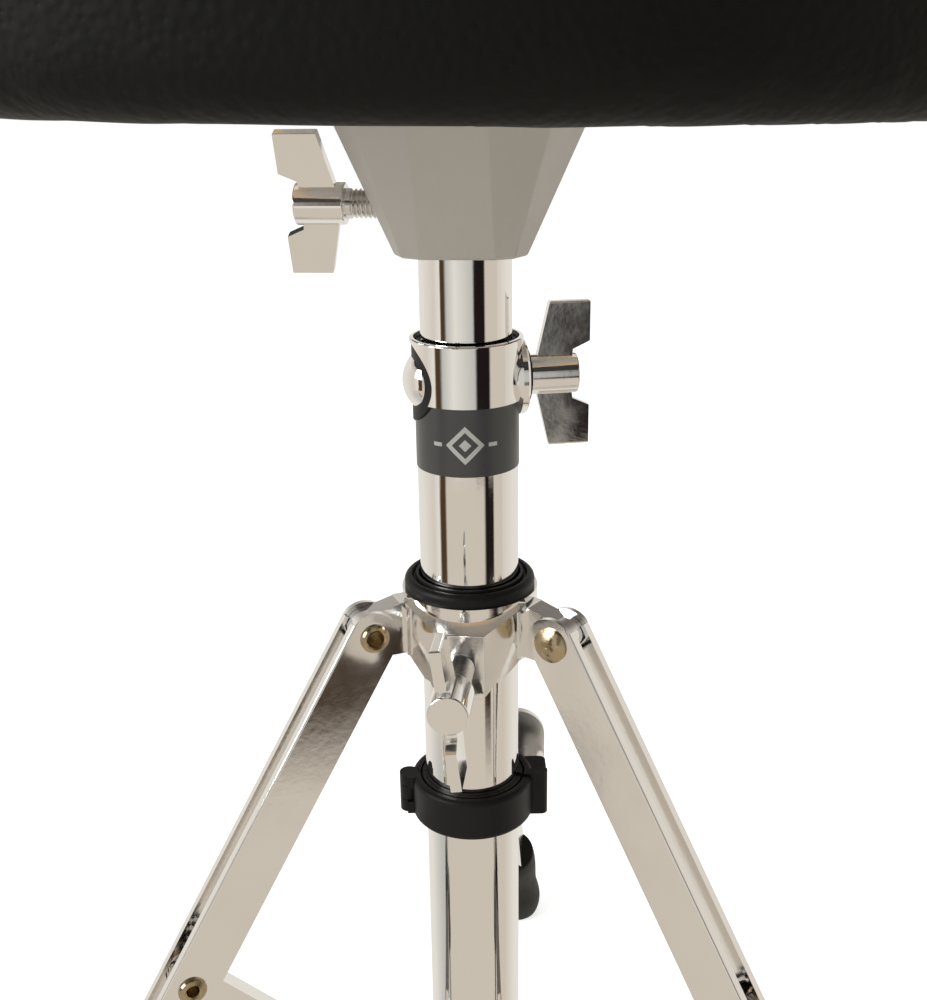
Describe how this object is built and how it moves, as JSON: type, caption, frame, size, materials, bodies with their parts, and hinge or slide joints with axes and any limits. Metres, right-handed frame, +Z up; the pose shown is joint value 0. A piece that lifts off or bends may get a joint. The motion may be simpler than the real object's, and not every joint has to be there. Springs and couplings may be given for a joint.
{
  "type": "drum throne",
  "caption": "Padded round seat on a telescoping chrome post, with wing bolts, a through-bolt height clamp, a memory lock and a folding double-strap tripod.",
  "frame": {"origin": "on the post's axis at floor level, midway between the three feet", "axes": "+Z up along the post; +Y towards the rear leg; -Y towards the collar's wing bolt"},
  "size_m": [0.33, 0.346, 0.461],
  "materials": {
    "chrome": "polished",
    "cast_alloy": "satin",
    "zinc_brass": "satin",
    "black_plastic": "satin",
    "label": "satin",
    "rubber": "matte",
    "seat_vinyl": "satin",
    "plywood": "matte",
    "cloth": "matte"
  },
  "bodies": {
    "post": {"outer_tube": "chrome", "tube_bush": "black_plastic", "clamp_band": "chrome", "clamp_saddle_pad": "black_plastic", "clamp_bolt": "chrome", "clamp_washer": "black_plastic", "label_band": "label", "lower_bracket": "chrome", "brace_pins": "zinc_brass", "tube_end_cap": "rubber"},
    "inner_post": {"inner_tube": "chrome", "inner_tube_plug": "black_plastic"},
    "seat": {"seat_cushion": "seat_vinyl", "seat_board": "plywood", "seat_under_cloth": "cloth", "seat_bracket": "cast_alloy", "seat_bracket_bolts": "chrome", "seat_tee_nuts": "chrome"},
    "seat_bolt": {"seat_bolt_stud": "chrome", "seat_bolt_wing": "chrome"},
    "clamp_nut": {"clamp_wing_nut": "chrome"},
    "collar": {"leg_collar": "chrome", "collar_ring": "black_plastic", "leg_pivot_rivets": "zinc_brass"},
    "collar_bolt": {"collar_bolt_stud": "chrome", "collar_bolt_wing": "chrome"},
    "lock": {"lock_front_half": "black_plastic", "lock_rear_half": "black_plastic", "lock_hinge_pin": "chrome", "lock_screw": "chrome"},
    "lock_lever": {"lock_lever_nut": "chrome"},
    "leg_rear": {"leg_strap_a_rear": "chrome", "leg_strap_b_rear": "chrome", "brace_rivet_rear": "zinc_brass", "leg_insert_rear": "black_plastic", "foot_rear": "rubber"},
    "brace_rear": {"brace_rear": "chrome"},
    "leg_left": {"leg_strap_a_left": "chrome", "leg_strap_b_left": "chrome", "brace_rivet_left": "zinc_brass", "leg_insert_left": "black_plastic", "foot_left": "rubber"},
    "brace_left": {"brace_left": "chrome"},
    "leg_right": {"leg_strap_a_right": "chrome", "leg_strap_b_right": "chrome", "brace_rivet_right": "zinc_brass", "leg_insert_right": "black_plastic", "foot_right": "rubber"},
    "brace_right": {"brace_right": "chrome"}
  },
  "joints": [
    {"name": "post_slide", "type": "slide", "parent": "post", "child": "inner_post", "axis": [0, 0, 1], "range_m": [0, 0.11]},
    {"name": "seat_swivel", "type": "hinge", "parent": "inner_post", "child": "seat", "pos_m": [0, 0, 0.354], "axis": [0, 0, 1], "continuous": true},
    {"name": "seat_bolt_turn", "type": "hinge", "parent": "seat", "child": "seat_bolt", "pos_m": [-0.0317, 0, 0.3514], "axis": [-1, 0, 0], "continuous": true},
    {"name": "clamp_nut_turn", "type": "hinge", "parent": "post", "child": "clamp_nut", "pos_m": [0.02318, 0.00621, 0.304], "axis": [0.9659, 0.2588, 0], "continuous": true},
    {"name": "collar_slide", "type": "slide", "parent": "post", "child": "collar", "axis": [0, 0, 1], "range_m": [0, 0.039]},
    {"name": "collar_bolt_turn", "type": "hinge", "parent": "collar", "child": "collar_bolt", "pos_m": [0, -0.0393, 0.2271], "axis": [0, -1, 0], "continuous": true},
    {"name": "lock_slide", "type": "slide", "parent": "post", "child": "lock", "axis": [0, 0, 1], "range_m": [-0.04, 0.02]},
    {"name": "lock_lever_turn", "type": "hinge", "parent": "lock", "child": "lock_lever", "pos_m": [0.01772, 0.01326, 0.1722], "axis": [-0.1219, 0.9925, 0], "continuous": true},
    {"name": "leg_rear_fold", "type": "hinge", "parent": "collar", "child": "leg_rear", "pos_m": [0, 0.03176, 0.23275], "axis": [-1, 0, 0], "range_deg": [0, 24.2]},
    {"name": "brace_rear_fold", "type": "hinge", "parent": "leg_rear", "child": "brace_rear", "pos_m": [0, 0.09241, 0.13141], "axis": [1, 0, 0], "range_deg": [0, 55.3]},
    {"name": "leg_left_fold", "type": "hinge", "parent": "collar", "child": "leg_left", "pos_m": [-0.02751, -0.01588, 0.23275], "axis": [0.5, -0.866, 0], "range_deg": [0, 24.2]},
    {"name": "brace_left_fold", "type": "hinge", "parent": "leg_left", "child": "brace_left", "pos_m": [-0.08003, -0.04621, 0.13141], "axis": [-0.5, 0.866, 0], "range_deg": [0, 55.3]},
    {"name": "leg_right_fold", "type": "hinge", "parent": "collar", "child": "leg_right", "pos_m": [0.02751, -0.01588, 0.23275], "axis": [0.5, 0.866, 0], "range_deg": [0, 24.2]},
    {"name": "brace_right_fold", "type": "hinge", "parent": "leg_right", "child": "brace_right", "pos_m": [0.08003, -0.04621, 0.13141], "axis": [-0.5, -0.866, 0], "range_deg": [0, 55.3]}
  ],
  "couplings": [
    {"joint": "leg_rear_fold", "follows": "collar_slide", "rad_per_m": 10.657},
    {"joint": "brace_rear_fold", "follows": "collar_slide", "rad_per_m": 24.577},
    {"joint": "leg_left_fold", "follows": "collar_slide", "rad_per_m": 10.657},
    {"joint": "brace_left_fold", "follows": "collar_slide", "rad_per_m": 24.577},
    {"joint": "leg_right_fold", "follows": "collar_slide", "rad_per_m": 10.657},
    {"joint": "brace_right_fold", "follows": "collar_slide", "rad_per_m": 24.577}
  ]
}
